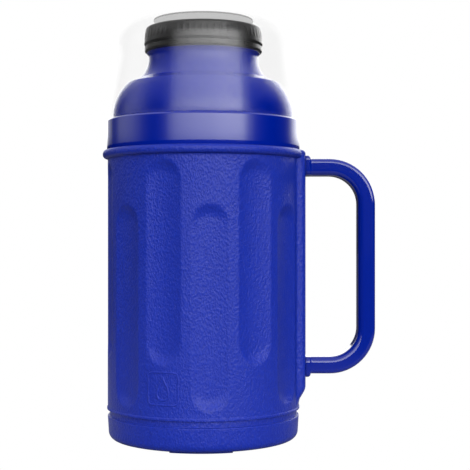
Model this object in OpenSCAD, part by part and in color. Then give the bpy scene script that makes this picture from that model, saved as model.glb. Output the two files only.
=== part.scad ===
// Insulated water jug: a foam-filled double wall, a screw stopper, a clear cup over it and a side handle.
// Millimetres, +Z up. The origin is on the jug's axis, in the plane that its feet stand on.
// The handle is on the +X side.

/* [Body] */
// Outer diameter of the fluted shell
body_d = 146; // [122:1:176]
// Height of the shell, from its lower lip to the top of its rim bead
shell_h = 196.3; // [160:0.1:240]
// Wall of the shell
shell_wall = 3; // [2.4:0.1:3.6]
// Height of the rim bead
bead_h = 6.5; // [5:0.1:8]
// How far the rim bead stands out from the shell
bead_out = 3.8; // [3.2:0.1:4.6]
// Height of the shell's lower lip
lip_h = 1.4; // [1:0.1:2]
// How far the lower lip stands out from the shell
lip_out = 0.5; // [0.3:0.1:0.8]

/* [Flutes] */
// Number of flutes round the shell, high and low ones in turn
flute_n = 12; // [12:2:12]
// Angle between neighbouring flutes
flute_pitch = 27.25; // [26.5:0.25:28]
// Depth of a flute
flute_depth = 3; // [2.5:0.1:3.6]
// Width of a flute
flute_w = 27.5; // [23:0.5:28]
// How much higher the high flutes lie than the low ones
flute_stagger = 32; // [20:0.5:40]
// Distance from the top of the shell down to the high flutes
flute_top_gap = 10.7; // [9:0.1:13]
// Distance from the lower lip up to the low flutes
flute_low_gap = 7.2; // [6:0.1:9]

/* [Handle rail] */
// How far the rail's face stands out from the shell
rail_out = 4.5; // [4:0.1:5.5]
// Width of the rail
rail_w = 38; // [34:0.5:40]
// Radius of the rail's long edges
rail_edge_r = 5; // [3:0.5:6]
// Distance from the lower lip up to the rail's foot
rail_foot_gap = 3.8; // [2:0.1:6]
// Height of the slope at the rail's foot
rail_slope_h = 7.5; // [5:0.1:10]

/* [Base] */
// Height of the base cap's outer wall above the floor
base_h = 19.1; // [15:0.1:23]
// Height of the recessed band between the base cap and the shell
groove_h = 4.7; // [3:0.1:6]
// Depth of the recessed band
groove_depth = 1.2; // [0.8:0.1:1.6]
// Wall of the base cap
base_wall = 2.7; // [2:0.1:3.2]
// Radius of the base cap's lower edge
base_edge_r = 6; // [5:0.1:8]
// How much the base cap's wall draws in towards the floor
base_draw = 1.1; // [0.5:0.1:1.5]
// Height of the foot pads
foot_h = 1; // [0.6:0.1:1.6]
// Width of the foot pads
foot_w = 5.5; // [4:0.1:7]
// Angle that each foot pad spans
foot_span = 40; // [30:1:60]
// Number of foot pads
foot_n = 4; // [3:1:6]
// Diameter of the filling hole in the base
fill_hole_d = 22; // [18:0.5:28]

/* [Shoulder collar] */
// How far the collar's band stands out from the shell
band_out = 0.6; // [0.3:0.1:1]
// Height of the collar's band, from the shell up to the cup's ledge
band_h = 22.9; // [18:0.1:28]
// Width of the bevel round the ledge
ledge_bevel = 1.2; // [0.8:0.1:1.6]
// Wall of the collar
collar_wall = 2.4; // [2:0.1:3]
// How far the dome's foot stands in from the shell's outside
dome_inset = 4; // [3.6:0.1:5]
// Height of the straight wall that centres the cup
dome_foot_h = 3.5; // [2.5:0.1:5]
// Height of the dome's crease above the ledge
crease_h = 27.7; // [24:0.1:34]
// Place of the dome's crease, from the neck's waist (0) out to the dome's foot (1)
crease_place = 0.6; // [0.58:0.01:0.7]
// How far the dome's wall leans in from upright just above its foot, in degrees
dome_lean = 3; // [1:0.5:6]
// Height of the neck's waist above the ledge
waist_h = 47.5; // [44:0.1:54]
// Radius of the neck's hollow sweep
neck_sweep_r = 21.3; // [18:0.1:22]
// Height of the flared rim above the waist
flare_h = 3.8; // [3:0.1:4.5]

/* [Inner vessel] */
// Diameter of the mouth
mouth_d = 72.6; // [61:0.1:87]
// Wall of the vessel
vessel_wall = 2.2; // [1.8:0.1:2.8]
// Foam thickness between the vessel and the flutes' inner faces
foam_wall = 9; // [7:0.1:12]
// Foam thickness under the vessel
foam_floor = 10; // [8:0.5:16]
// Radius of the vessel's lower corner
vessel_corner_r = 14; // [10:0.5:18]
// Radius of the vessel's shoulder
vessel_shoulder_r = 24; // [20:0.5:30]
// Radius of the hollow curve from the shoulder into the neck
vessel_neck_r = 10; // [8:0.5:12]
// Distance from the collar's rim down to where the neck runs straight
neck_straight = 26.3; // [24:0.1:30]
// Height of the threaded finish above the collar's rim
finish_h = 13.2; // [13:0.1:16]

/* [Thread] */
// Number of thread starts
thread_starts = 3; // [3:1:3]
// Rise in one full turn
thread_lead = 12; // [12:1:12]
// Height of a thread ridge above its wall
thread_depth = 1.6; // [1.4:0.1:1.7]
// Width of a ridge at its root
ridge_root_w = 1.9; // [1.6:0.1:2.1]
// Width of a ridge at its crest
ridge_crest_w = 1; // [0.8:0.1:1.2]
// Angle that each ridge spans
ridge_span = 165; // [120:5:180]

/* [Stopper] */
// Wall of the cap's grip at its thickest
grip_wall = 2.5; // [2.2:0.1:3.5]
// Wall of the stopper's parts
stopper_wall = 2; // [1.8:0.1:2.4]
// Height of the band below the cap
stopper_band_h = 4.5; // [3.5:0.1:5]
// How far the plug reaches below the mouth's rim
plug_depth = 19.5; // [14:0.5:26]
// Thickness of the sealing ring
gasket_t = 1.5; // [1.2:0.1:2]
// Thickness of the cap's top
cap_top_t = 2.4; // [2:0.1:3]
// Radius of the cap's upper edge
cap_edge_r = 3.2; // [2:0.1:4]

/* [Cup] */
// Wall of the cup
cup_wall = 1.8; // [1.5:0.1:2]
// Headroom between the stopper and the cup's roof
cup_headroom = 3.1; // [2:0.1:15]
// How much the cup's radius draws in for each millimetre of height
cup_taper = 0.105; // [0.06:0.005:0.12]
// Radius of the cup's rounded top edge
cup_corner_r = 20; // [14:0.5:20]
// Width of the flat ring round the raised disc on the cup's top
cup_ring_w = 7.8; // [4:0.1:12]
// Height of the raised disc
cup_disc_h = 1.5; // [1:0.1:2.5]

/* [Handle] */
// Distance from the rail's face to the middle of the grip bar
handle_reach = 46.8; // [42:0.1:58]
// Thickness of the bar, seen from the side
bar_t = 12.8; // [11:0.1:15]
// Width of the bar, seen from outside
bar_w = 22; // [20:0.5:28]
// Radius of the bar's edges towards the jug
bar_inner_edge_r = 5; // [3:0.1:5.4]
// Radius of the bar's outer edges
bar_outer_edge_r = 2.2; // [1.5:0.1:4]
// Radius of the handle's corners, along the middle of the bar
handle_corner_r = 28; // [22:0.5:30]
// Distance from the top of the shell down to the upper leg
upper_leg_drop = 13; // [12:0.1:20]
// Distance from the lower lip up to the lower leg
lower_leg_rise = 32.9; // [24:0.1:44]
// Thickness of the flange at the foot of each leg
flange_t = 4; // [3:0.1:5]
// How far each flange stands past its leg
flange_lip = 2.5; // [1.5:0.1:3.5]
// Diameter of the handle screws
screw_d = 3.9; // [3.5:0.1:4.5]
// Distance between the two screws of a leg
screw_gap = 11; // [9:0.5:12]
// Length of the screws in the handle's legs
screw_bite = 16; // [12:0.5:17]
// Thickness of the backing plates
plate_t = 2; // [1.5:0.1:2.5]

/* [Fits] */
// Gap between soft or curved pieces that rest on each other
seat_gap = 0.3; // [0.2:0.05:0.35]
// Radial clearance of the spigots inside the shell
spigot_fit = 0.25; // [0.15:0.05:0.35]
// Radial clearance of a screw in its pilot hole
pilot_fit = 0.05; // [0.03:0.01:0.08]
// Gap between thread crests and the wall they face
thread_fit = 0.55; // [0.5:0.05:0.6]
// Gap between the vessel's neck and the collar
neck_fit = 0.8; // [0.6:0.1:1.2]
// Gap between the cup and the dome's foot
cup_fit = 1; // [0.9:0.05:1.4]
// Gap between the plug and the mouth
plug_fit = 0.6; // [0.4:0.05:0.8]

/* [Hidden] */
$fn = 96;

// Cuts run this far past the faces they leave through
past = 1;
// Steps in each rounded stretch of an outline
arc_steps = 8;
blue = "#2433ad";
gloss_blue = "#0e1f93";

// Radii, from the shell inwards
body_r = body_d / 2;
shell_in_r = body_r - shell_wall;
rail_x = body_r + rail_out;
rail_in_x = rail_x - shell_wall;
spigot_r = shell_in_r - spigot_fit;
spigot_in_r = spigot_r - collar_wall;
foam_r = body_r - flute_depth - shell_wall - seat_gap;
vessel_r = foam_r - foam_wall;
mouth_r = mouth_d / 2;
finish_r = mouth_r + vessel_wall;
waist_r = finish_r + neck_fit + collar_wall;
band_r = body_r + band_out;
dome_r = body_r - dome_inset;
crease_r = waist_r + (dome_r - waist_r) * crease_place;
cup_rim_r = dome_r + cup_fit + cup_wall;

// Heights, from the floor up
lip_z = base_h + groove_h;
shell_top_z = lip_z + shell_h;
ledge_z = shell_top_z + band_h;
crease_z = ledge_z + crease_h;
waist_z = ledge_z + waist_h;
rim_z = waist_z + flare_h;
finish_z = rim_z + finish_h;
base_floor_z = foot_h + base_wall;
vessel_z = base_floor_z + foam_floor;
upper_leg_z = shell_top_z - upper_leg_drop;
lower_leg_z = lip_z + lower_leg_rise;

// Spigots end short of the flutes' inner faces
base_spigot_h = flute_low_gap - shell_wall - 0.4;
collar_spigot_h = flute_top_gap - shell_wall - 1;

// Points of an arc about [cx, cz], from angle a0 to a1
function arc(cx, cz, r, a0, a1, n = arc_steps) =
    [for (i = [0:n]) let (a = a0 + (a1 - a0) * i / n) [cx + r * cos(a), cz + r * sin(a)]];

// Flutes: a wide upright cylinder, trimmed to a round-ended outline, meets the shell at the flute's edges
flute_half = flute_w / 2;
flute_rise = flute_depth - (body_r - sqrt(body_r * body_r - flute_half * flute_half));
flute_cut_r = (flute_half * flute_half + flute_rise * flute_rise) / (2 * flute_rise);
flute_margin = 0.5;
flute_first = (360 - (flute_n - 1) * flute_pitch) / 2;
flute_len = shell_h - flute_top_gap - flute_low_gap - flute_stagger;
flute_high_z = shell_top_z - flute_top_gap - flute_len / 2;
flute_low_z = lip_z + flute_low_gap + flute_len / 2;

// A round-ended outline, long way up
module stadium(half, len) {
    square([len - 2 * half, 2 * half], center = true);
    for (side = [-1, 1])
        translate([side * (len / 2 - half), 0])
            circle(r = half);
}

module flute(angle, mid_z, grow) {
    rotate([0, 0, angle])
        translate([0, 0, mid_z])
            intersection() {
                translate([body_r - flute_depth + flute_cut_r, 0, -flute_len])
                    cylinder(r = flute_cut_r + grow, h = 2 * flute_len);
                rotate([0, 90, 0])
                    linear_extrude(height = rail_x + 10)
                        stadium(flute_half + flute_margin + grow, flute_len + 2 * grow);
            }
}

// All the flutes; grow swells them into the inner faces of the moulded wall
module flutes(grow) {
    for (k = [0 : flute_n - 1])
        flute(-(flute_first + k * flute_pitch), k % 2 == 0 ? flute_low_z : flute_high_z, grow);
}

// The rail's plan, with rounded long edges
module rail_plan(face_x, width, edge_r) {
    back_x = body_r / 2;
    translate([back_x, -width / 2])
        square([face_x - edge_r - back_x, width]);
    translate([back_x, edge_r - width / 2])
        square([face_x - back_x, width - 2 * edge_r]);
    for (side = [-1, 1])
        translate([face_x - edge_r, side * (width / 2 - edge_r)])
            circle(r = edge_r);
}

rail_foot_z = lip_z + rail_foot_gap;
rail_top_z = shell_top_z - bead_h / 2;
pocket_low_z = rail_foot_z + rail_slope_h + shell_wall;
pocket_top_z = shell_top_z - bead_h + 1.5;

module rail() {
    intersection() {
        translate([0, 0, lip_z])
            linear_extrude(height = rail_top_z - lip_z)
                rail_plan(rail_x, rail_w, rail_edge_r);
        rotate([90, 0, 0])
            linear_extrude(height = rail_w + 2 * past, center = true)
                polygon([
                    [0, rail_foot_z], [body_r - rail_edge_r, rail_foot_z], [rail_x, rail_foot_z + rail_slope_h],
                    [rail_x + past, rail_top_z + past], [0, rail_top_z + past]
                ]);
    }
}

bead_edge_r = 2.6;

module outer_shell() {
    bead_r = body_r + bead_out;
    bead_z = shell_top_z - bead_h;
    color(blue)
        difference() {
            union() {
                rotate_extrude()
                    polygon(concat(
                        [[0, lip_z], [body_r + lip_out, lip_z], [body_r + lip_out, lip_z + lip_h],
                            [body_r, lip_z + lip_h + lip_out], [body_r, bead_z]],
                        arc(bead_r - bead_edge_r, bead_z + bead_edge_r, bead_edge_r, -90, 0),
                        arc(bead_r - bead_edge_r, shell_top_z - bead_edge_r, bead_edge_r, 0, 90),
                        [[0, shell_top_z]]
                    ));
                rail();
            }
            flutes(0);
            difference() {
                translate([0, 0, lip_z - past])
                    cylinder(r = shell_in_r, h = shell_h + 2 * past);
                flutes(shell_wall);
            }
            translate([0, 0, pocket_low_z])
                linear_extrude(height = pocket_top_z - pocket_low_z)
                    rail_plan(rail_in_x, rail_w - 2 * shell_wall, rail_edge_r - 2);
            leg_holes(screw_hole_r, rail_in_x - past, rail_x + past);
        }
}

// Screw holes, the same for the rail, the plates and the handle
screw_r = screw_d / 2;
screw_hole_r = screw_r + 0.35;
screw_head_r = 4;
screw_head_t = 2.2;
head_x = rail_in_x - plate_t;

module leg_holes(r, from_x, to_x) {
    for (leg_z = [lower_leg_z, upper_leg_z], side = [-1, 1])
        translate([from_x, side * screw_gap / 2, leg_z])
            rotate([0, 90, 0])
                cylinder(r = r, h = to_x - from_x, $fn = 32);
}

fill_flange_w = 3;
fill_flange_t = 1.5;

module base_cap() {
    low_r = body_r - base_draw;
    edge_z = foot_h + base_edge_r;
    in_edge_r = base_edge_r - base_wall;
    in_low_r = low_r - base_wall;
    in_top_r = body_r - groove_depth - base_wall;
    pad_r = low_r - base_edge_r;
    color(blue) {
        difference() {
            rotate_extrude()
                polygon(concat(
                    [[0, foot_h]],
                    arc(low_r - base_edge_r, edge_z, base_edge_r, -90, 0),
                    [[body_r, base_h - 0.6], [body_r - 0.6, base_h], [body_r - groove_depth, base_h],
                        [body_r - groove_depth, lip_z], [spigot_r, lip_z], [spigot_r, lip_z + base_spigot_h],
                        [spigot_in_r, lip_z + base_spigot_h], [spigot_in_r, lip_z - collar_wall],
                        [in_top_r, base_h - base_wall]],
                    arc(in_low_r - in_edge_r, base_floor_z + in_edge_r, in_edge_r, 0, -90),
                    [[0, base_floor_z]]
                ));
            translate([0, 0, foot_h - past])
                cylinder(d = fill_hole_d, h = base_wall + 2 * past);
            translate([0, 0, foot_h - past])
                cylinder(r = fill_hole_d / 2 + fill_flange_w, h = past + fill_flange_t);
        }
        for (i = [0 : foot_n - 1])
            rotate([0, 0, i * 360 / foot_n - foot_span / 2])
                rotate_extrude(angle = foot_span)
                    translate([pad_r - foot_w, 0])
                        square([foot_w, foot_h + 0.4]);
    }
}

// A disc with a spring skirt, pressed into the filling hole from below, its face level with the feet
module base_plug() {
    skirt_r = fill_hole_d / 2 - 0.15;
    skirt_h = base_wall + 3;
    color(blue)
        difference() {
            union() {
                cylinder(r = fill_hole_d / 2 + fill_flange_w - 0.2, h = foot_h + fill_flange_t - 0.1);
                translate([0, 0, foot_h + 0.2])
                    cylinder(r = skirt_r, h = skirt_h);
            }
            translate([0, 0, foot_h + fill_flange_t + 0.5])
                cylinder(r = skirt_r - 1.6, h = skirt_h);
        }
}

// The vessel's outline, swollen by grow: straight wall, round shoulder, hollow curve, straight neck
curve_dx = vessel_shoulder_r + vessel_neck_r - (vessel_r - finish_r);
curve_dz = sqrt(pow(vessel_shoulder_r + vessel_neck_r, 2) - curve_dx * curve_dx);
curve_angle = atan2(curve_dz, curve_dx);
neck_low_z = rim_z - neck_straight;
shoulder_z = neck_low_z - curve_dz;

module vessel_solid(grow, top_z) {
    rotate_extrude()
        polygon(concat(
            [[0, vessel_z - grow]],
            arc(vessel_r - vessel_corner_r, vessel_z + vessel_corner_r, vessel_corner_r + grow, -90, 0),
            arc(vessel_r - vessel_shoulder_r, shoulder_z, vessel_shoulder_r + grow, 0, curve_angle),
            arc(finish_r + vessel_neck_r, neck_low_z, vessel_neck_r - grow, 180 + curve_angle, 180),
            [[finish_r + grow, top_z], [0, top_z]]
        ));
}

// One thread ridge: a trapezoid carried up a right-hand helix, fading out at both ends.
// The crest is outside the root on the vessel and inside it in the stopper.
ridge_bury = 0.4;

module ridge(wall_r, crest_r, start_z, start_a) {
    root_r = crest_r > wall_r ? wall_r - ridge_bury : wall_r + ridge_bury;
    steps = ceil(ridge_span / 7.5);
    fade = [for (i = [0:steps]) min(1, (i + 0.6) / 2.6, (steps - i + 0.6) / 2.6)];
    points = [
        for (i = [0:steps])
            let (
                a = start_a + ridge_span * i / steps,
                z = start_z + thread_lead * ridge_span * i / steps / 360,
                r = root_r + (crest_r - root_r) * fade[i]
            )
            for (p = [[root_r, -ridge_root_w], [r, -ridge_crest_w], [r, ridge_crest_w], [root_r, ridge_root_w]])
                [p[0] * cos(a), p[0] * sin(a), z + p[1] / 2]
    ];
    last = 4 * steps;
    faces = concat(
        [[2, 1, 0], [3, 2, 0]],
        [
            for (i = [0 : steps - 1], k = [0:3])
                let (a = 4 * i + k, b = 4 * i + (k + 1) % 4)
                    each [[a, b, b + 4], [a, b + 4, a + 4]]
        ],
        [[last, last + 1, last + 2], [last, last + 2, last + 3]]
    );
    flipped = [for (f = faces) [f[2], f[1], f[0]]];
    polyhedron(points, crest_r > wall_r ? faces : flipped);
}

module ridges(wall_r, crest_r, start_z, start_a) {
    for (i = [0 : thread_starts - 1])
        ridge(wall_r, crest_r, start_z, start_a + i * 360 / thread_starts);
}

male_crest_r = finish_r + thread_depth;
skirt_r = male_crest_r + thread_fit;
female_crest_r = finish_r + thread_fit;
male_z = rim_z + 2.6;
// Stopper ridges lie midway between the vessel's ridges and start a little lower
female_drop_a = 40;
female_z = male_z + thread_lead / thread_starts / 2 - thread_lead * female_drop_a / 360;

module inner_vessel() {
    color("#f1f1ec")
        difference() {
            union() {
                vessel_solid(0, finish_z);
                ridges(finish_r, male_crest_r, male_z, 0);
            }
            vessel_solid(-vessel_wall, finish_z + past);
        }
}

module foam_insulation() {
    low_z = base_floor_z + seat_gap;
    dome_gap = collar_wall + seat_gap;
    roof_r = waist_r + neck_sweep_r * (1 - cos(neck_angle));
    color("#efe3b4")
        difference() {
            rotate_extrude()
                polygon(concat(
                    [[0, low_z], [foam_r - 8, low_z], [foam_r, low_z + 8], [foam_r, shell_top_z - 20],
                        [dome_r - dome_gap, shell_top_z]],
                    arc(dome_c[0], dome_c[1], dome_arc_r - dome_gap, dome_a0, dome_a1),
                    [[roof_r, neck_foot_z - dome_gap - 0.5], [0, neck_foot_z - dome_gap - 0.5]]
                ));
            vessel_solid(seat_gap, finish_z);
            translate([0, 0, foot_h])
                cylinder(r = fill_hole_d / 2 + seat_gap, h = base_wall + 4.5);
        }
}

// Dome: an arc that leaves its foot leaning by dome_lean and ends at the crease
dome_foot = [dome_r, ledge_z + dome_foot_h];
crease = [crease_r, crease_z];
dome_chord = norm(crease - dome_foot);
dome_chord_lean = atan2(dome_foot[0] - crease[0], crease[1] - dome_foot[1]);
dome_a0 = dome_lean;
dome_a1 = 2 * dome_chord_lean - dome_lean;
dome_arc_r = dome_chord / (2 * sin((dome_a1 - dome_a0) / 2));
dome_c = dome_foot - dome_arc_r * [cos(dome_a0), sin(dome_a0)];

// Neck: a hollow sweep from the dome's roof in to the waist, then a small flare out to the rim
neck_angle = 48;
neck_c = [waist_r + neck_sweep_r, waist_z];
neck_foot_z = waist_z - neck_sweep_r * sin(neck_angle);
flare_r = 5;
flare_angle = asin(flare_h / flare_r);
seal_w = 1.8;
seal_h = 2;

module shoulder_collar() {
    bore_r = waist_r - collar_wall;
    color(gloss_blue)
        rotate_extrude()
            polygon(concat(
                [[spigot_r, shell_top_z - collar_spigot_h], [spigot_r, shell_top_z], [band_r, shell_top_z],
                    [band_r, ledge_z - ledge_bevel], [band_r - ledge_bevel, ledge_z], [dome_r, ledge_z]],
                arc(dome_c[0], dome_c[1], dome_arc_r, dome_a0, dome_a1),
                arc(neck_c[0], neck_c[1], neck_sweep_r, 180 + neck_angle, 180),
                arc(waist_r + flare_r, waist_z, flare_r, 179, 180 - flare_angle, 5),
                [[finish_r + seal_w, rim_z], [finish_r + seal_w, rim_z - seal_h], [bore_r, rim_z - seal_h]],
                arc(neck_c[0], neck_c[1], neck_sweep_r + collar_wall, 180, 180 + neck_angle),
                arc(dome_c[0], dome_c[1], dome_arc_r - collar_wall, dome_a1, dome_a0),
                [[dome_r - collar_wall, ledge_z - collar_wall], [band_r - collar_wall, ledge_z - collar_wall],
                    [band_r - collar_wall, shell_top_z + collar_wall], [spigot_in_r, shell_top_z + collar_wall],
                    [spigot_in_r, shell_top_z - collar_spigot_h]]
            ));
}

module neck_seal() {
    color("#3a3d44")
        translate([0, 0, rim_z - seal_h])
            difference() {
                cylinder(r = finish_r + seal_w - 0.1, h = seal_h - 0.1);
                translate([0, 0, -past])
                    cylinder(r = finish_r + 0.1, h = seal_h + 2 * past);
            }
}

// Section of the grip bar: x points away from the hand's side, y across the bar
module bar_section() {
    inner = bar_inner_edge_r;
    outer = bar_outer_edge_r;
    translate([inner - bar_t / 2, -bar_w / 2])
        square([bar_t - inner - outer, bar_w]);
    translate([-bar_t / 2, inner - bar_w / 2])
        square([inner, bar_w - 2 * inner]);
    translate([bar_t / 2 - outer, outer - bar_w / 2])
        square([outer, bar_w - 2 * outer]);
    for (side = [-1, 1]) {
        translate([inner - bar_t / 2, side * (bar_w / 2 - inner)])
            circle(r = inner, $fn = 48);
        translate([bar_t / 2 - outer, side * (bar_w / 2 - outer)])
            circle(r = outer, $fn = 48);
    }
}

handle_x = rail_x + seat_gap;
bar_x = rail_x + handle_reach;
corner_x = bar_x - handle_corner_r;

module handle_corner(corner_z, turn) {
    translate([corner_x, 0, corner_z])
        rotate([90, 0, 0])
            rotate([0, 0, turn])
                rotate_extrude(angle = 90)
                    translate([handle_corner_r, 0])
                        bar_section();
}

module handle_flange(leg_z, way) {
    flange_h = bar_t + flange_lip;
    translate([handle_x, -bar_w / 2 - 1.5, leg_z + way * flange_lip / 2 - flange_h / 2])
        cube([flange_t, bar_w + 3, flange_h]);
}

module handle() {
    color(gloss_blue)
        difference() {
            union() {
                translate([bar_x, 0, lower_leg_z + handle_corner_r])
                    linear_extrude(height = upper_leg_z - lower_leg_z - 2 * handle_corner_r)
                        bar_section();
                handle_corner(upper_leg_z - handle_corner_r, 0);
                handle_corner(lower_leg_z + handle_corner_r, -90);
                translate([corner_x, 0, upper_leg_z])
                    rotate([0, -90, 0])
                        linear_extrude(height = corner_x - handle_x)
                            bar_section();
                translate([handle_x, 0, lower_leg_z])
                    rotate([0, 90, 0])
                        linear_extrude(height = corner_x - handle_x)
                            bar_section();
                handle_flange(upper_leg_z, 1);
                handle_flange(lower_leg_z, -1);
            }
            leg_holes(screw_r + pilot_fit, handle_x - past, handle_x + screw_bite + 1);
        }
}

module handle_plates() {
    plate_w = rail_w - 2 * shell_wall - 6;
    plate_h = 14;
    color("#9aa0a6")
        difference() {
            for (leg_z = [lower_leg_z, upper_leg_z])
                translate([head_x, -plate_w / 2, leg_z - plate_h / 2])
                    cube([plate_t, plate_w, plate_h]);
            leg_holes(screw_hole_r, head_x - past, rail_in_x + past);
        }
}

module screw() {
    slot_w = 1;
    slot_len = 4.4;
    slot_depth = 1.2;
    rotate([0, 90, 0])
        difference() {
            union() {
                cylinder(r = screw_r, h = handle_x + screw_bite - head_x, $fn = 32);
                translate([0, 0, -screw_head_t])
                    cylinder(r = screw_head_r, h = screw_head_t, $fn = 48);
            }
            for (turn = [0, 90])
                rotate([0, 0, turn])
                    translate([-slot_len / 2, -slot_w / 2, -screw_head_t - past])
                        cube([slot_len, slot_w, slot_depth + past]);
        }
}

module handle_screws() {
    color("#b9bdc2")
        for (leg_z = [lower_leg_z, upper_leg_z], side = [-1, 1])
            translate([head_x, side * screw_gap / 2, leg_z])
                screw();
}

// Stopper: heights above the vessel's rim
gasket_fit = 0.05;
flange_z = finish_z + gasket_t;
stopper_floor_z = finish_z - plug_depth;
plug_r = mouth_r - plug_fit;
skirt_out_r = skirt_r + stopper_wall;
grip_r = skirt_out_r + spigot_fit + grip_wall;
stopper_low_z = rim_z + 0.4;
band_top_z = stopper_low_z + stopper_band_h;
flange_top_z = flange_z + stopper_wall + 0.2;
cap_in_z = flange_top_z + seat_gap;
cap_z = cap_in_z + cap_top_t;

module stopper_gasket() {
    color("#e4e4e0")
        translate([0, 0, finish_z + gasket_fit])
            difference() {
                cylinder(r = male_crest_r, h = gasket_t - 2 * gasket_fit);
                translate([0, 0, -past])
                    cylinder(r = plug_r + 0.4, h = gasket_t + 2 * past);
            }
}

module stopper_body() {
    band_r = grip_r - 0.5;
    round_r = 1.6;
    color("#17181a") {
        rotate_extrude()
            polygon(concat(
                [[0, stopper_floor_z], [plug_r - 1.5, stopper_floor_z], [plug_r, stopper_floor_z + 1.5],
                    [plug_r, flange_z], [skirt_r, flange_z], [skirt_r, stopper_low_z]],
                arc(band_r - round_r, stopper_low_z + round_r, round_r, -90, 0, 5),
                [[band_r, band_top_z], [skirt_out_r, band_top_z], [skirt_out_r, flange_top_z],
                    [plug_r - stopper_wall, flange_top_z], [plug_r - stopper_wall, stopper_floor_z + stopper_wall],
                    [0, stopper_floor_z + stopper_wall]]
            ));
        ridges(skirt_r, female_crest_r, female_z, -female_drop_a);
    }
}

module stopper_foam() {
    foam_low_z = stopper_floor_z + stopper_wall + seat_gap;
    color("#efe3b4")
        translate([0, 0, foam_low_z])
            cylinder(r = plug_r - stopper_wall - seat_gap, h = cap_in_z - seat_gap - foam_low_z);
}

module stopper_cap() {
    low_z = band_top_z + 0.3;
    in_r = skirt_out_r + spigot_fit;
    edge_r = grip_r - 1.7;
    recess_r = grip_r - 12;
    recess_depth = 0.8;
    color("#17181a")
        rotate_extrude()
            polygon(concat(
                [[in_r, low_z], [grip_r - 0.8, low_z], [grip_r, low_z + 1.2], [grip_r, low_z + 3.5]],
                arc(edge_r - cap_edge_r, cap_z - cap_edge_r, cap_edge_r, 8, 90),
                [[recess_r, cap_z], [recess_r - recess_depth, cap_z - recess_depth], [0, cap_z - recess_depth],
                    [0, cap_in_z], [in_r, cap_in_z]]
            ));
}

// The cup's outline, drawn in by wall: a tapered side, a rounded edge and a flat top
cup_z = ledge_z + seat_gap;
cup_h = cap_z + cup_headroom + cup_wall - cup_z;
cup_side_a = atan(cup_taper);
cup_corner_c = [
    cup_rim_r - cup_taper * (cup_h - cup_corner_r) - cup_corner_r / cos(cup_side_a),
    cup_z + cup_h - cup_corner_r
];

function cup_outline(wall) =
    concat(
        [[cup_rim_r - wall / cos(cup_side_a), cup_z]],
        arc(cup_corner_c[0], cup_corner_c[1], cup_corner_r - wall, cup_side_a, 90, 16),
        [[0, cup_z + cup_h - wall]]
    );

module cup() {
    color([0.92, 0.95, 1, 0.35])
        difference() {
            union() {
                rotate_extrude()
                    polygon(concat([[0, cup_z]], cup_outline(0)));
                translate([0, 0, cup_z + cup_h - 0.5])
                    cylinder(r = cup_corner_c[0] - cup_ring_w, h = cup_disc_h + 0.5);
            }
            rotate_extrude()
                polygon(concat([[0, cup_z - past], [cup_rim_r - cup_wall, cup_z - past]], cup_outline(cup_wall)));
        }
}

outer_shell();
base_cap();
base_plug();
inner_vessel();
foam_insulation();
shoulder_collar();
neck_seal();
handle();
handle_plates();
handle_screws();
stopper_gasket();
stopper_body();
stopper_cap();
stopper_foam();
cup();
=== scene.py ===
# %% [markdown]
# # Insulated water jug
# The jug is a foam-filled double wall: a grained blue shell with fluted sides, a polished shoulder
# collar, a black screw stopper, a clear cup turned upside down over it, and a bolted side handle. The CAD
# model gives every size and every joint. This script adds the surfaces and finishes that the eye reads:
# soft edges, moulded grain, gloss.

# %% Load the frame
import bmesh
import bpy
import numpy as np
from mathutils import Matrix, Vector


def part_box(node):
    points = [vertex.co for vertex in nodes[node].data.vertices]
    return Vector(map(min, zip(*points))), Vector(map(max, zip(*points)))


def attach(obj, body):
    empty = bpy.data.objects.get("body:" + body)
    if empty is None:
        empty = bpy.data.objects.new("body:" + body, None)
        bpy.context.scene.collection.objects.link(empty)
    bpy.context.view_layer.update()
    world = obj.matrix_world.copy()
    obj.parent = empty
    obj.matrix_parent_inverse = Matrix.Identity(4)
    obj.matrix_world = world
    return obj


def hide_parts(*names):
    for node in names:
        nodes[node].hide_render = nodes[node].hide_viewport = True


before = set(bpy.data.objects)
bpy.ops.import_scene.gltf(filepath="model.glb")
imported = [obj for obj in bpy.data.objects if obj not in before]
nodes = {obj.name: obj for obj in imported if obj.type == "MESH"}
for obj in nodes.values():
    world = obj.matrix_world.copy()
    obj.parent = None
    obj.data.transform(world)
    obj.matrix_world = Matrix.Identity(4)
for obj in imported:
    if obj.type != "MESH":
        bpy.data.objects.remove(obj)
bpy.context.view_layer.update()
print("nodes:", sorted(nodes))

# %% [markdown]
# Every size below is read from the CAD nodes' boxes, in millimetres, so the surfaces follow the frame.
# Only the things a box can't tell, such as a fillet's radius, are given as numbers.

# %% Read the jug's main sizes from the frame
MM = 0.001


def size_of(node):
    """Lowest and highest corner of a CAD node, in millimetres, rounded to 0.1."""
    low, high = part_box(node)
    return np.round(np.array(low) / MM, 1), np.round(np.array(high) / MM, 1)


shell_low, shell_high = size_of("outer_shell")
cap_high = size_of("base_cap")[1]
collar_low, collar_high = size_of("shoulder_collar")
lid_low, lid_high = size_of("stopper_cap")
cup_low, cup_high = size_of("cup")
handle_low, handle_high = size_of("handle")
plug_high = size_of("base_plug")[1]

body_r = cap_high[1]
bead_r = shell_high[1]
rail_x = shell_high[0]
lip_z = shell_low[2]
shell_top_z = shell_high[2]
print("body radius", body_r, "shell from", lip_z, "to", shell_top_z)

# %% [markdown]
# All new pieces share three helpers: one rounds the corners of an outline, one turns an outline into a
# grid of points round the axis, and one puts a grid of points into a mesh. A grid closed both ways is a
# ring-like skin with no holes, and a grid whose first or last row shrinks to a point is closed there with
# a fan.

# %% Helpers: outlines
def arc(cx, cz, r, a0, a1, n=12):
    """Points of a circle about (cx, cz): r times cos and sin of n+1 even angles from a0 to a1 degrees."""
    a = np.radians(np.linspace(a0, a1, n + 1))
    return np.stack([cx + r * np.cos(a), cz + r * np.sin(a)], 1)


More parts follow.
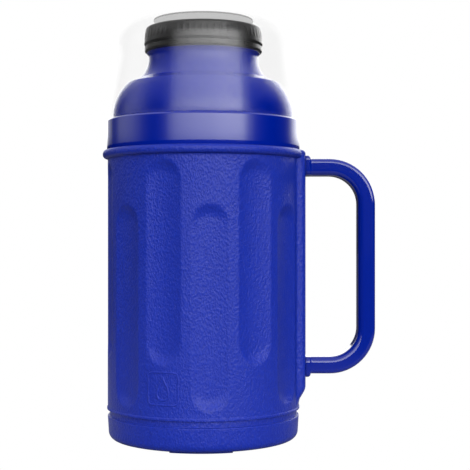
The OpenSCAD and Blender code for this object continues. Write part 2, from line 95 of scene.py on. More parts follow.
def rounded(corners, n=6):
    """Open outline through corners (x, z, fillet radius).

    A fillet of radius r at a corner whose sides turn by t starts r * tan(t / 2) before it and ends as far after.
    Its points are the circle through those two ends, tangent to both sides.
    """
    c = np.array([k[:2] for k in corners], float)
    out = [c[:1]]
    for i in range(1, len(c) - 1):
        r = corners[i][2]
        before, after = c[i] - c[i - 1], c[i + 1] - c[i]
        before, after = before / np.hypot(*before), after / np.hypot(*after)
        turn = np.arctan2(before[0] * after[1] - before[1] * after[0], before @ after)
        if r == 0 or abs(turn) < 1e-3:
            out.append(c[i : i + 1])
            continue
        start = c[i] - before * r * abs(np.tan(turn / 2))
        side = np.sign(turn) * np.array([-before[1], before[0]])
        a = np.linspace(0, abs(turn), n + 1)[:, None]
        out.append(start + side * r * (1 - np.cos(a)) + before * r * np.sin(a))
    out.append(c[-1:])
    return np.concatenate(out)


def finer(outline, step):
    """The same outline with extra points, so that no stretch is longer than step."""
    out = [outline[:1]]
    for p, q in zip(outline[:-1], outline[1:]):
        n = max(1, int(np.ceil(np.hypot(*(q - p)) / step)))
        out.append(p + (q - p) * np.linspace(0, 1, n + 1)[1:, None])
    return np.concatenate(out)


# %% Helpers: grids and meshes
def turned(outline, angles):
    """Grid of an outline (radius, height) turned about the axis: x = r cos a, y = r sin a, z = height."""
    r, z = outline[:, 0][:, None], outline[:, 1][:, None]
    a = np.radians(angles)[None, :]
    return np.stack([r * np.cos(a), r * np.sin(a), np.broadcast_to(z, (len(outline), a.shape[1]))], 2)


def full_turn(n):
    """n even angles in one full turn, in degrees."""
    return np.arange(n) * 360 / n


def grid_faces(rows, cols, ring_rows, ring_cols):
    """Quads between neighbouring rows and columns; a ring joins its last row or column to its first."""
    r = np.arange(rows if ring_rows else rows - 1)[:, None]
    c = np.arange(cols if ring_cols else cols - 1)[None, :]
    r1, c1 = (r + 1) % rows, (c + 1) % cols
    return np.stack([r * cols + c, r * cols + c1, r1 * cols + c1, r1 * cols + c], 2).reshape(-1, 4)


def weld(mesh):
    """Join points that coincide, so that rows of a grid that meet leave no face without area between them."""
    joined = bmesh.new()
    joined.from_mesh(mesh)
    bmesh.ops.remove_doubles(joined, verts=joined.verts, dist=1e-3 * MM)
    joined.to_mesh(mesh)
    joined.free()


def skin(
    name, grid, ring_rows=False, body="jug", material=None, stands_for=(), other=None, other_rows=()
):
    """Mesh of a grid (rows, columns, 3) in millimetres. A tube's open ends are closed with a fan to their middle.

    The faces that start at other_rows take the material other.
    """
    rows, cols = grid.shape[:2]
    points = grid.reshape(-1, 3)
    faces = [tuple(f) for f in grid_faces(rows, cols, ring_rows, True).tolist()]
    if not ring_rows:
        ends = np.stack([grid[0].mean(0), grid[-1].mean(0)])
        first, last = len(points), len(points) + 1
        points = np.concatenate([points, ends])
        ring = [(c, (c + 1) % cols) for c in range(cols)]
        faces += [(first, b, a) for a, b in ring]
        top = (rows - 1) * cols
        faces += [(last, top + a, top + b) for a, b in ring]
    mesh = bpy.data.meshes.new(name)
    mesh.from_pydata((points * MM).tolist(), [], faces)
    mesh.polygons.foreach_set("use_smooth", np.ones(len(faces), bool))
    piece = bpy.data.objects.new(name, mesh)
    bpy.context.scene.collection.objects.link(piece)
    mesh.materials.append(material)
    if other:
        mesh.materials.append(other)
        row = np.minimum(np.arange(len(faces)) // cols, rows - 1)
        mesh.polygons.foreach_set("material_index", np.isin(row, other_rows).astype(int))
    weld(mesh)
    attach(piece, body)
    if stands_for:
        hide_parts(*stands_for)
    print(name, len(faces), "faces")
    return piece


# %% [markdown]
# Colours are written as they look on a screen and turned into the light values that the renderer counts
# with. One small function adds a node, sets its inputs and links it, and every finish is built from it.

# %% Helpers: colours and nodes
def screen(code):
    """A colour such as "#2433ad" as linear red, green, blue, alpha."""
    c = np.array([int(code[i : i + 2], 16) for i in (1, 3, 5)]) / 255
    linear = np.where(c <= 0.04045, c / 12.92, ((c + 0.055) / 1.055) ** 2.4)
    return (*linear.tolist(), 1.0)


def node(tree, kind, settings=None, **inputs):
    """Adds a node. settings are its own options; inputs are values or sockets for its inputs, by name."""
    made = tree.nodes.new(kind)
    for key, value in (settings or {}).items():
        setattr(made, key, value)
    for key, value in inputs.items():
        by_number = key[0] == "i" and key[1:].isdigit()
        socket = made.inputs[int(key[1:]) if by_number else key.replace("_", " ")]
        if isinstance(value, bpy.types.NodeSocket):
            tree.links.new(value, socket)
        else:
            socket.default_value = value
    return made


def finish(name, **values):
    """A new material with only its Principled shader, set to the given values; returns material, tree, shader."""
    made = bpy.data.materials.new(name)
    made.use_nodes = True
    tree = made.node_tree
    shader = tree.nodes["Principled BSDF"]
    for key, value in values.items():
        shader.inputs[key.replace("_", " ")].default_value = value
    return made, tree, shader


# %% [markdown]
# ## Grained blue polypropylene
# The shell and the base are injection moulded in a tool etched with a leather grain: shallow wrinkles
# about a millimetre apart that run a little diagonally. Real polypropylene is slightly waxy, so its gloss
# is broad. The grain could be modelled, but a tenth of a millimetre of relief reads the same as bump, and
# keeps the mesh light. A cell pattern gives the pebbles, a stretched noise gives the creases, and a
# fainter, larger noise makes the gloss uneven, as etched tools do. The blue is painted a little darker
# in the grain's hollows: painted shade.

# %% Material: grained polypropylene
GRAIN_MM = 1.3
CREASE_MM = 2.1
BLOTCH_MM = 45.0


def per_metre(size_mm):
    """Pattern scale whose features are size_mm wide, when the coordinates are in metres."""
    return 1000.0 / size_mm


def grained_polypropylene():
    made, tree, shader = finish(
        "grained_polypropylene", Base_Color=screen("#112694"), Roughness=0.38, IOR=1.49, Specular_IOR_Level=0.24
    )
    place = node(tree, "ShaderNodeTexCoord").outputs["Object"]
    tilted = node(tree, "ShaderNodeMapping", Vector=place, Rotation=(0.5, 0.25, 0.6), Scale=(1.0, 1.0, 0.62))
    pebbles = node(
        tree, "ShaderNodeTexVoronoi", {"feature": "SMOOTH_F1"},
        Vector=tilted.outputs[0], Scale=per_metre(GRAIN_MM), Smoothness=0.6, Randomness=0.95,
    )
    creases = node(
        tree, "ShaderNodeTexNoise", Vector=tilted.outputs[0], Scale=per_metre(CREASE_MM),
        Detail=5.0, Roughness=0.62, Distortion=1.4,
    )
    both = node(
        tree, "ShaderNodeMix", {"data_type": "FLOAT"},
        Factor=0.55, i2=pebbles.outputs["Distance"], i3=creases.outputs["Fac"],
    )
    bump = node(tree, "ShaderNodeBump", Strength=0.9, Distance=0.0008, Height=both.outputs[0])
    blotch = node(tree, "ShaderNodeTexNoise", Vector=place, Scale=per_metre(BLOTCH_MM), Detail=3.0, Roughness=0.5)
    gloss = node(
        tree, "ShaderNodeMapRange", Value=blotch.outputs["Fac"], From_Min=0.3, From_Max=0.7,
        To_Min=0.34, To_Max=0.42,
    )
    # Painted shade: the lower the grain's relief, the darker the blue, so the hollows look shaded.
    grain_hollow_shade = node(
        tree, "ShaderNodeMapRange", Value=both.outputs[0], From_Min=0.25, From_Max=0.65, To_Min=0.0, To_Max=1.0
    )
    shade = node(
        tree, "ShaderNodeMix", {"data_type": "RGBA"},
        Factor=grain_hollow_shade.outputs[0], i6=screen("#0c2086"), i7=screen("#102894"),
    )
    tree.links.new(shade.outputs[2], shader.inputs["Base Color"])
    tree.links.new(gloss.outputs[0], shader.inputs["Roughness"])
    tree.links.new(bump.outputs[0], shader.inputs["Normal"])
    return made


grained = grained_polypropylene()
print("grain scale per metre:", round(per_metre(GRAIN_MM)))

# %% [markdown]
# ## Polished blue polypropylene
# The collar and the handle come from polished tools of the same blue. They look deeper than the shell
# because no grain scatters white light back. A very faint, long wave in the surface stands for the sink
# and flow that every moulded part has, and it keeps the reflections from looking ruled.

# %% Material: polished polypropylene
def polished_polypropylene(name, colour, roughness, wave):
    made, tree, shader = finish(name, Base_Color=screen(colour), Roughness=roughness, IOR=1.49)
    place = node(tree, "ShaderNodeTexCoord").outputs["Object"]
    flow = node(tree, "ShaderNodeTexNoise", Vector=place, Scale=per_metre(30), Detail=2.0, Roughness=0.4)
    mist = node(tree, "ShaderNodeTexNoise", Vector=place, Scale=per_metre(0.9), Detail=2.0, Roughness=0.5)
    gloss = node(
        tree, "ShaderNodeMapRange", Value=mist.outputs["Fac"], From_Min=0.3, From_Max=0.7,
        To_Min=roughness * 0.85, To_Max=roughness * 1.15,
    )
    bump = node(tree, "ShaderNodeBump", Strength=wave, Distance=0.0004, Height=flow.outputs["Fac"])
    tree.links.new(gloss.outputs[0], shader.inputs["Roughness"])
    tree.links.new(bump.outputs[0], shader.inputs["Normal"])
    return made


collar_blue = polished_polypropylene("polished_polypropylene", "#001880", 0.07, 0.06)
dome_blue = polished_polypropylene("satin_polypropylene_dome", "#001880", 0.22, 0.05)
dome_blue.node_tree.nodes["Principled BSDF"].inputs["Specular IOR Level"].default_value = 0.14
handle_blue = polished_polypropylene("satin_polypropylene", "#00187b", 0.05, 0.04)

# %% [markdown]
# ## Satin black polypropylene
# The stopper is black with a fine spark-eroded surface: a satin gloss with a soft edge and a powdery
# grain that only shows close up.

# %% Material: satin black
def satin_black_polypropylene():
    made, tree, shader = finish(
        "satin_black_polypropylene", Base_Color=screen("#0c0c0d"), Roughness=0.34, IOR=1.49,
        Specular_IOR_Level=0.3,
    )
    place = node(tree, "ShaderNodeTexCoord").outputs["Object"]
    spark = node(tree, "ShaderNodeTexNoise", Vector=place, Scale=per_metre(0.5), Detail=3.0, Roughness=0.6)
    bump = node(tree, "ShaderNodeBump", Strength=0.12, Distance=0.0001, Height=spark.outputs["Fac"])
    tree.links.new(bump.outputs[0], shader.inputs["Normal"])
    return made


black = satin_black_polypropylene()

# %% [markdown]
# ## Clear cup
# The cup is moulded in clear styrene, thin and nearly free of colour. A thin even wall doesn't displace
# what is seen through it, so it isn't drawn as a refracting block: a small share is mirrored at each
# face, and the rest goes straight through with about a hundredth of it lost. Its raised top disc is
# frosted, as the gate side of such a cup is: pale grey.

# %% Material: clear and frosted styrene
FACE_SHARE = 0.015
clear, clear_tree, mirror = finish(
    "clear_styrene", Base_Color=screen("#ffffff"), Metallic=1.0, Roughness=0.04
)
clear_place = node(clear_tree, "ShaderNodeTexCoord").outputs["Object"]
clear_flow = node(clear_tree, "ShaderNodeTexNoise", Vector=clear_place, Scale=per_metre(25), Detail=2.0)
clear_bump = node(clear_tree, "ShaderNodeBump", Strength=0.05, Distance=0.0004, Height=clear_flow.outputs["Fac"])
clear_tree.links.new(clear_bump.outputs[0], mirror.inputs["Normal"])
through = node(clear_tree, "ShaderNodeBsdfTransparent", Color=(0.987, 0.987, 0.987, 1.0))
clear_mix = node(clear_tree, "ShaderNodeMixShader", i0=FACE_SHARE, i1=through.outputs[0], i2=mirror.outputs[0])
clear_tree.links.new(clear_mix.outputs[0], clear_tree.nodes["Material Output"].inputs["Surface"])

frosted, frosted_tree, frosted_shader = finish(
    "frosted_styrene", Base_Color=screen("#5e5e5e"), Roughness=0.6, IOR=1.57, Specular_IOR_Level=0.05, Alpha=0.45
)
frosted_place = node(frosted_tree, "ShaderNodeTexCoord").outputs["Object"]
frosted_etch = node(frosted_tree, "ShaderNodeTexNoise", Vector=frosted_place, Scale=per_metre(0.6), Detail=3.0)
frosted_bump = node(
    frosted_tree, "ShaderNodeBump", Strength=0.2, Distance=0.0001, Height=frosted_etch.outputs["Fac"]
)
frosted_tree.links.new(frosted_bump.outputs[0], frosted_shader.inputs["Normal"])

# %% [markdown]
# ## Hidden pieces
# Lifting the stopper shows the white polyethylene neck and the silicone sealing ring. The foam, the
# plates and the screws are inside the wall, yet each gets its own finish, so that a cut-away view is
# right too.

# %% Materials: neck, foam, silicone, rubber, steel
def mottled(name, light, dark, size_mm, roughness, bump_mm=0.0, **values):
    """A plain finish whose colour drifts between two shades over size_mm, with bump_mm of relief."""
    made, tree, shader = finish(name, Roughness=roughness, **values)
    place = node(tree, "ShaderNodeTexCoord").outputs["Object"]
    drift = node(tree, "ShaderNodeTexNoise", Vector=place, Scale=per_metre(size_mm), Detail=4.0, Roughness=0.55)
    shade = node(
        tree, "ShaderNodeMix", {"data_type": "RGBA"},
        Factor=drift.outputs["Fac"], i6=screen(dark), i7=screen(light),
    )
    tree.links.new(shade.outputs[2], shader.inputs["Base Color"])
    if bump_mm:
        bump = node(tree, "ShaderNodeBump", Strength=0.5, Distance=bump_mm * MM, Height=drift.outputs["Fac"])
        tree.links.new(bump.outputs[0], shader.inputs["Normal"])
    return made


polyethylene = mottled(
    "natural_polyethylene", "#f4f4ef", "#e9e9e2", 18, 0.33, 0.05, IOR=1.51, Subsurface_Weight=0.08
)
foam = mottled("polyurethane_foam", "#f0e4ba", "#dcc98c", 1.2, 0.9, 0.4)
silicone = mottled("milky_silicone", "#dcdcd6", "#cfcfc8", 8, 0.45, 0.03, IOR=1.41)
rubber = mottled("black_rubber", "#2c2d30", "#232427", 3, 0.6, 0.05)
steel = mottled("zinc_plated_steel", "#c3c6c9", "#a9adb2", 2, 0.35, 0.02, Metallic=1.0)

# %% [markdown]
# The CAD nodes that keep their own shape only need their finish assigned.

# %% Finish the carried-over CAD nodes
kept = {
    "inner_vessel": polyethylene, "foam_insulation": foam, "stopper_foam": foam, "stopper_gasket": silicone,
    "neck_seal": rubber, "handle_plates": steel, "handle_screws": steel, "base_plug": grained,
    "stopper_body": black,
}
for name, material in kept.items():
    nodes[name].data.materials.clear()
    nodes[name].data.materials.append(material)
print("finished CAD nodes:", len(kept))

# %% [markdown]
# ## Fluted shell
# The shell is the face of the jug: a straight wall with twelve hollow flutes, high and low in turn, a
# rolled bead round its top and a flat rail for the handle. One grid can hold all of it, because each
# point only needs its distance from the axis. Columns are laid on the flutes' edges, so those stay crisp,
# and the rows follow the wall's section: under the lip, up the outside, over the bead and down the
# inside.

# %% Flutes: depth below the wall
FLUTES = 12
PITCH = 27.25
FLUTE_DEPTH = 3.0
FLUTE_HALF = 13.75
END_SLOPE = 9.0
WALL = 3.0
FLUTE_COLUMNS, LAND_COLUMNS = 22, 11
flute_first = (360 - (FLUTES - 1) * PITCH) / 2
flute_angles = -(flute_first + PITCH * np.arange(FLUTES))
flute_edge = np.degrees(np.arcsin(FLUTE_HALF / body_r))
flute_rise = FLUTE_DEPTH - (body_r - body_r * np.cos(np.radians(flute_edge)))
flute_cut_r = (FLUTE_HALF**2 + flute_rise**2) / (2 * flute_rise)
low_flute = (lip_z + 7.2, shell_top_z - 42.7)
high_flute = (lip_z + 39.2, shell_top_z - 10.7)


def smooth_step(t):
    """0 below 0, 1 above 1, and 3t^2 - 2t^3 between."""
    t = np.clip(t, 0, 1)
    return t * t * (3 - 2 * t)


def flute_depth(angle, z):
    """Depth of the flutes below the plain wall.

    Across, a flute is a circle of radius flute_cut_r whose bottom lies FLUTE_DEPTH below the wall. Along, it fades
    out over END_SLOPE before its round end, as a quarter of a sine wave: steepest at the edge, level inside.
    """
    depth = np.zeros(np.broadcast(angle, z).shape)
    for k, middle in enumerate(flute_angles):
        away = (angle - middle + 180) % 360 - 180
        x = np.clip(body_r * np.sin(np.radians(np.clip(away, -60, 60))), -FLUTE_HALF, FLUTE_HALF)
        cutter_drop, wall_drop = flute_cut_r - np.sqrt(flute_cut_r**2 - x**2), body_r - np.sqrt(body_r**2 - x**2)
        across = FLUTE_DEPTH - cutter_drop - wall_drop
        foot, head = low_flute if k % 2 == 0 else high_flute
        reach = (head - foot) / 2 - FLUTE_HALF + np.sqrt(FLUTE_HALF**2 - x**2)
        along = np.sin(np.pi / 2 * np.clip((reach - np.abs(z - (foot + head) / 2)) / END_SLOPE, 0, 1))
        depth = np.maximum(depth, np.maximum(across, 0) * along)
    return depth


print("flute cutter radius", round(float(flute_cut_r), 1), "edge at", round(float(flute_edge), 2), "degrees")

# %% Rail: how far the wall stands out towards the handle
RAIL_HALF = 19.0
RAIL_EDGE = 5.0
RAIL_FOOT = lip_z + 3.8
RAIL_SLOPE = 14.0


def rail_reach(angle):
    """Distance from the axis to the rail's plan outline: flat face, round edge, then a side parallel to X."""
    a = np.radians(np.abs((angle + 180) % 360 - 180))
    a = np.minimum(a, np.radians(40))
    face = rail_x / np.cos(a)
    cx, cy = rail_x - RAIL_EDGE, RAIL_HALF - RAIL_EDGE
    along = cx * np.cos(a) + cy * np.sin(a)
    inside = np.maximum(RAIL_EDGE**2 - (cx**2 + cy**2) + along**2, 0)
    edge = along + np.sqrt(inside)
    side = RAIL_HALF / np.maximum(np.sin(a), 1e-3)
    reach = np.where(a < np.arctan2(cy, rail_x), face, np.where(a < np.arctan2(RAIL_HALF, cx), edge, side))
    return np.maximum(reach, body_r)


def soft_max(a, b, blend):
    """The larger of a and b, with their crossing rounded over blend."""
    h = np.clip(0.5 + 0.5 * (a - b) / blend, 0, 1)
    return b * (1 - h) + a * h + blend * h * (1 - h)


# %% Build the shell's grid
BEAD_H = 6.5
LIP_OUT = 0.5
bead_z = shell_top_z - BEAD_H


def between(start, end, n):
    """n even values from start, stopping short of end."""
    return np.linspace(start, end, n, endpoint=False)


def shell_columns():
    """Angles of the grid's columns: even steps inside each flute and each land, closer ones round the rail."""
    edges = np.sort(np.concatenate([flute_angles - flute_edge, flute_angles + flute_edge]) % 360)
    counts = [FLUTE_COLUMNS if i % 2 == 0 else LAND_COLUMNS for i in range(len(edges) - 1)]
    steps = [between(a, b, n) for a, b, n in zip(edges[:-1], edges[1:], counts)]
    half = edges[0]
    rail = [0, 10.3, 12.4, 14.0, 14.7, 15.1, 15.6, 17.0]
    right = np.concatenate([between(0, rail[1], 8), rail[1:], [half - 0.9]])
    return np.unique(np.round(np.concatenate([right, *steps, [edges[-1]], 360 - right[1:]]), 3))


outside = rounded([
    (body_r - WALL, lip_z, 0), (body_r + LIP_OUT, lip_z, 0.35), (body_r + LIP_OUT, lip_z + 1.4, 0.4),
    (body_r, lip_z + 2.2, 1.0), (body_r, bead_z, 0.9), (bead_r, bead_z, 2.9), (bead_r, shell_top_z, 2.9),
    (body_r - WALL, shell_top_z, 0.5), (body_r - WALL, shell_top_z - 1.5, 0),
], 7)
outside = finer(outside, 1.35)
inside_z = np.linspace(shell_top_z - 8, lip_z + 1.0, 22)
angles = shell_columns()
out_r, out_z = outside[:, 0][:, None], outside[:, 1][:, None]
foot_fade = smooth_step((out_z - RAIL_FOOT) / RAIL_SLOPE)
rail_r = body_r + (rail_reach(angles)[None, :] - body_r) * foot_fade
on_wall = out_r >= body_r - 0.01
wall_r = out_r - flute_depth(angles[None, :], out_z) * on_wall
under_bead = on_wall & (rail_r > body_r + 0.01) & (out_z < bead_z + 2.9)
wall_r = np.where(under_bead, soft_max(wall_r, rail_r, 1.2), wall_r)
over_bead = np.maximum(rail_reach(angles)[None, :] - bead_r, 0) * smooth_step((out_r - body_r) / (bead_r - body_r))
wall_r = np.where(out_z >= bead_z + 2.9, wall_r + over_bead, wall_r)
back_r = body_r - WALL - flute_depth(angles[None, :], inside_z[:, None])
shell_r = np.concatenate([wall_r, back_r])
shell_z = np.concatenate([out_z[:, 0], inside_z])
turn = np.radians(angles)[None, :]
shell_grid = np.stack(
    [shell_r * np.cos(turn), shell_r * np.sin(turn), np.broadcast_to(shell_z[:, None], shell_r.shape)], 2
)
skin(
    "fluted_shell", shell_grid, ring_rows=True, material=grained, stands_for=["outer_shell"]
)

# %% [markdown]
# ## Drop mark
# Under one of the high flutes the wall carries a small moulded badge. Here it is a plain water drop in a
# square frame: two thin raised beads laid on the wall along a closed path. A bead half sunk in the wall
# is how a toolmaker engraves such a mark, with a ball-nosed cutter run along a line.

# %% Drop mark
MARK_ANGLE = flute_angles[3]
MARK_Z = lip_z + 22.5


def bead_on_wall(name, path, bead_r_mm):
    """A round bead along a closed path (across, up) on the wall, whose rings stand square to the path."""
    ahead = np.roll(path, -1, 0) - np.roll(path, 1, 0)
    ahead /= np.hypot(ahead[:, 0], ahead[:, 1])[:, None]
    ring = np.radians(full_turn(10))
    across = path[:, 0][:, None] + np.cos(ring)[None, :] * bead_r_mm * ahead[:, 1][:, None]
    up = path[:, 1][:, None] - np.cos(ring)[None, :] * bead_r_mm * ahead[:, 0][:, None]
    reach = body_r + np.sin(ring)[None, :] * bead_r_mm * 0.62 - bead_r_mm * 0.12
    a = np.radians(MARK_ANGLE) + across / body_r
    grid = np.stack([reach * np.cos(a), reach * np.sin(a), MARK_Z + up], 2)
    return skin(name, grid[:, ::-1], ring_rows=True, material=grained)


t = np.radians(full_turn(120))
square = 11.6 / (np.abs(np.cos(t)) ** 8 + np.abs(np.sin(t)) ** 8) ** 0.125
frame_path = square[:, None] * np.stack([np.cos(t), np.sin(t)], 1)
drop_path = np.stack([6.6 * np.sin(t) * np.sin(t / 2) ** 1.6, 8.2 * np.cos(t)], 1)
bead_on_wall("mark_frame", frame_path, 0.8)
bead_on_wall("mark_drop", drop_path, 0.9)

# %% [markdown]
# ## Base cap
# The base is a separate dish with a recessed band where it meets the shell, a rounded lower edge and four
# low foot pads. The dish is turned from one outline. The pads are the same grid with the foot ring's rows
# pulled down between each pad's two ends, so the underside stays one skin.

# %% Base cap
FOOT_PADS = 4
PAD_SPAN = 40.0
foot_h = 1.0
base_top_z = lip_z - 4.7
groove_r = body_r - 1.7
low_r = body_r - 1.1
pad_out, pad_in = low_r - 6.0, low_r - 11.5
hole_r = plug_high[0] + 0.2

base_outline = finer(rounded([
    (hole_r, foot_h + 1.5, 0), (hole_r, foot_h, 0.3), (low_r, foot_h, 6.0), (body_r, base_top_z, 0.8),
    (groove_r, base_top_z, 0.4), (groove_r, lip_z, 0.3), (body_r - WALL - 0.3, lip_z, 0.2),
    (body_r - WALL - 0.3, cap_high[2], 0.5), (body_r - 5.6, cap_high[2], 0.5), (body_r - 5.6, lip_z - 4, 1.0),
    (body_r - 5.6, foot_h + 2.7, 3.0), (hole_r, foot_h + 2.7, 0),
], 8), 2.0)
pad_rows = np.array([pad_in - 0.8, pad_in, pad_in + 0.01, pad_out - 0.01, pad_out, pad_out + 0.5])
flat = np.stack([pad_rows, np.full(6, foot_h)], 1)
under = (base_outline[:, 1] < foot_h + 0.01) & (base_outline[:, 0] > hole_r + 1)
keep = ~(under & (base_outline[:, 0] > pad_in - 1) & (base_outline[:, 0] < pad_out + 0.6))
cut = int(np.argmax(base_outline[:, 0] > pad_in - 1))
base_outline = np.concatenate([base_outline[:cut][keep[:cut]], flat, base_outline[cut:][keep[cut:]]])
pad_ends = (np.arange(FOOT_PADS)[:, None] * 360 / FOOT_PADS + np.array([-20.4, -20, 20, 20.4]) * PAD_SPAN / 40)
base_angles = np.unique(np.round(np.concatenate([full_turn(240), pad_ends.ravel() % 360]), 3))
base_grid = turned(base_outline, base_angles)
on_pad = np.abs((base_angles + 45) % 90 - 45) <= PAD_SPAN / 2 + 0.01
at_foot = np.isclose(base_outline[:, 1], foot_h)
pad_row = at_foot & (base_outline[:, 0] >= pad_in + 0.005) & (base_outline[:, 0] < pad_out - 0.005)
base_grid[np.ix_(pad_row, on_pad, [2])] = 0.0
skin("base_dish", base_grid, ring_rows=True, material=grained, stands_for=["base_cap"])

# %% [markdown]
# ## Shoulder collar
# The collar is a turned shape: a straight band flush with the shell, a bevelled ledge that the cup stands
# on, a dome that leans in to a crease, and a hollow neck that flares under the stopper. In gloss, a
# faceted turning shows at once, so its outline has short steps and small fillets, and it is turned in 256
# columns.

# %% Shoulder collar
band_r = collar_high[1]
ledge_z = cup_low[2] - 0.3
dome_r = body_r - 4.0
dome_foot_z = ledge_z + 3.5
waist_r = 41.7
waist_z = ledge_z + 47.5
rim_z = collar_high[2]
crease = np.array([waist_r + (dome_r - waist_r) * 0.6, ledge_z + 27.7])
chord = crease - [dome_r, dome_foot_z]
lean = 3.0
chord_lean = np.degrees(np.arctan2(-chord[0], chord[1]))
dome_end = 2 * chord_lean - lean
dome_arc_r = np.hypot(*chord) / (2 * np.sin(np.radians((dome_end - lean) / 2)))
lean_way = np.array([np.cos(np.radians(lean)), np.sin(np.radians(lean))])
dome_c = np.array([dome_r, dome_foot_z]) - dome_arc_r * lean_way
SWEEP = 21.3
print("dome arc radius", round(float(dome_arc_r), 1))


def unfilleted(points):
    """Points of an outline as corners (radius, height, fillet radius) without a fillet."""
    return [(r, z, 0) for r, z in points.tolist()]


dome = arc(*dome_c, dome_arc_r, lean, dome_end, 28)
neck = arc(waist_r + SWEEP, waist_z, SWEEP, 228, 181, 28)
flare = arc(waist_r + 5.0, waist_z, 5.0, 176, 131, 10)
inner_neck = arc(waist_r + SWEEP, waist_z, SWEEP + 2.4, 180, 228, 10)
inner_dome = arc(*dome_c, dome_arc_r - 2.4, dome_end, lean, 10)
collar_corners = [
    (66.9, collar_low[2] + 6, 0), (66.9, collar_low[2], 0.4), (69.7, collar_low[2], 0.4), (69.7, shell_top_z, 0),
    (band_r, shell_top_z, 0.3), (band_r, ledge_z - 1.2, 0.5), (band_r - 1.2, ledge_z, 0.4), (dome_r, ledge_z, 0.5),
    *unfilleted(dome[:-1]), (*dome[-1].tolist(), 0.5), *unfilleted(neck), *unfilleted(flare),
    (40.3, rim_z, 0.2), (40.3, rim_z - 2, 0), (39.3, rim_z - 2, 0),
    *unfilleted(inner_neck), *unfilleted(inner_dome),
    (66.9, ledge_z - 2.4, 0), (70.6, ledge_z - 2.4, 0), (70.6, shell_top_z + 2.4, 0), (66.9, shell_top_z + 2.4, 0),
    (66.9, collar_low[2] + 6.1, 0),
]
collar_outline = finer(rounded(collar_corners, 6), 3.0)
under_cup = np.flatnonzero((collar_outline[:, 1] > ledge_z + 0.1) | (collar_outline[:, 0] < 66.8))
skin(
    "shoulder_turning", turned(collar_outline, full_turn(256)), ring_rows=True, material=collar_blue,
    stands_for=["shoulder_collar"], other=dome_blue, other_rows=under_cup,
)

# %% [markdown]
# ## Stopper cap
# The cap bulges slightly, has a rounded upper edge and carries low raised bars round its side, which give
# wet fingers a hold. The bars are part of the grid: the distance from the axis grows by BAR_RELIEF inside
# each bar, with sides half a millimetre wide.

# %% Stopper cap
BARS = 60
BAR_RELIEF = 0.16
CAP_COLUMNS = 600
grip_r = lid_high[1]
cap_top = lid_high[2]
cap_foot = lid_low[2]
cap_outline = finer(rounded([
    (42.9, cap_foot, 0), (grip_r - 1.2, cap_foot, 0.4), (grip_r, cap_foot + 1.6, 1.6),
    (grip_r - 0.35, cap_foot + 5, 4.0),
    (grip_r - 1.4, cap_top, 2.4), (grip_r - 11.6, cap_top, 0.8), (grip_r - 12.6, cap_top - 0.9, 0.8),
    (0.6, cap_top - 0.9, 0),
], 9), 0.7)
cap_roof = rounded([(0.6, cap_top - 2.4, 0), (42.9, cap_top - 2.4, 0.5), (42.9, cap_foot + 0.2, 0)], 4)


def bar_relief(angle, z):
    """Height of the grip bars: full inside each bar's width and height, fading over its sides."""
    pitch = 360 / BARS
    away = np.abs((angle + pitch / 2) % pitch - pitch / 2) * np.pi / 180 * grip_r
    across = smooth_step((1.15 - away) / 0.5)
    middle = (cap_foot + cap_top) / 2 + 0.6
    along = smooth_step((3.0 - np.abs(z - middle)) / 0.7)
    gap = smooth_step((np.abs((angle + 30) % 60 - 30) - 4.5) / 1.0)
    return BAR_RELIEF * across * along * gap


cap_angles = full_turn(CAP_COLUMNS)
cap_side = turned(cap_outline, cap_angles)
relief = bar_relief(cap_angles[None, :], cap_outline[:, 1][:, None]) * (cap_outline[:, 0] > grip_r - 4)[:, None]
outward = np.stack([np.cos(np.radians(cap_angles)), np.sin(np.radians(cap_angles)), np.zeros(len(cap_angles))], 1)
cap_side = cap_side + relief[:, :, None] * outward[None, :, :]
skin(
    "stopper_grip", np.concatenate([cap_side, turned(cap_roof, cap_angles)]), ring_rows=True, body="stopper",
    material=black, stands_for=["stopper_cap"],
)

# %% [markdown]
# ## Cup
# The cup is a tapered, thin-walled bell with a round top edge and a raised disc. Its outer and inner
# skins are one closed outline, from the rim up the outside to the middle and back down the inside, so
# that light crosses two faces at each side, as it does in a real cup.

# %% Cup
CUP_WALL = 1.8
TAPER = 0.105
CUP_CORNER = 20.0
cup_rim_r = cup_high[1]
cup_z = cup_low[2]
cup_top_z = cup_high[2] - 1.5
side_a = np.degrees(np.arctan(TAPER))
corner_z = cup_top_z - CUP_CORNER
corner_r = cup_rim_r - TAPER * (corner_z - cup_z) - CUP_CORNER / np.cos(np.radians(side_a))
disc_r = corner_r - 7.8
outer = np.concatenate([
    [[cup_rim_r - 0.5, cup_z]], arc(cup_rim_r - 0.5, cup_z + 0.5, 0.5, -70, side_a, 4),
    arc(corner_r, corner_z, CUP_CORNER, side_a, 89, 24),
])
disc = rounded([
    (disc_r + 1.5, cup_top_z, 0), (disc_r, cup_top_z, 0.4), (disc_r, cup_high[2], 0.6), (0.5, cup_high[2], 0),
], 5)
inner = np.concatenate([
    [[0.5, cup_top_z - CUP_WALL]], arc(corner_r, corner_z, CUP_CORNER - CUP_WALL, 90, side_a, 24),
    [[cup_rim_r - CUP_WALL, cup_z + 0.4], [cup_rim_r - CUP_WALL + 0.3, cup_z]],
])
cup_outline = finer(np.concatenate([outer, disc, inner]), 4.0)
on_disc = np.flatnonzero((cup_outline[:, 1] > cup_top_z + 0.1) & (cup_outline[:, 0] < disc_r + 0.1))
skin(
    "clear_cup", turned(cup_outline, full_turn(192)), ring_rows=True, body="cup", material=clear,
    stands_for=["cup"], other=frosted, other_rows=on_disc,
)

# %% [markdown]
# ## Handle
# The handle is one bar bent into a D. Its section is rounder towards the fingers than on the outside, and
# it ends in two small flanges that bear on the rail. It is a section carried along a path: two straight
# legs, two quarter turns and a straight grip. The flanges are the same section, swollen over the first
# few millimetres.

# %% Handle
BAR_T = 12.8
BAR_W = 22.0
bar_x = handle_high[0] - BAR_T / 2
CORNER = 28.0
FLANGE_T = 4.0
FLANGE_LIP = 2.5
low_leg_z = handle_low[2] + BAR_T / 2 + FLANGE_LIP
high_leg_z = handle_high[2] - BAR_T / 2 - FLANGE_LIP


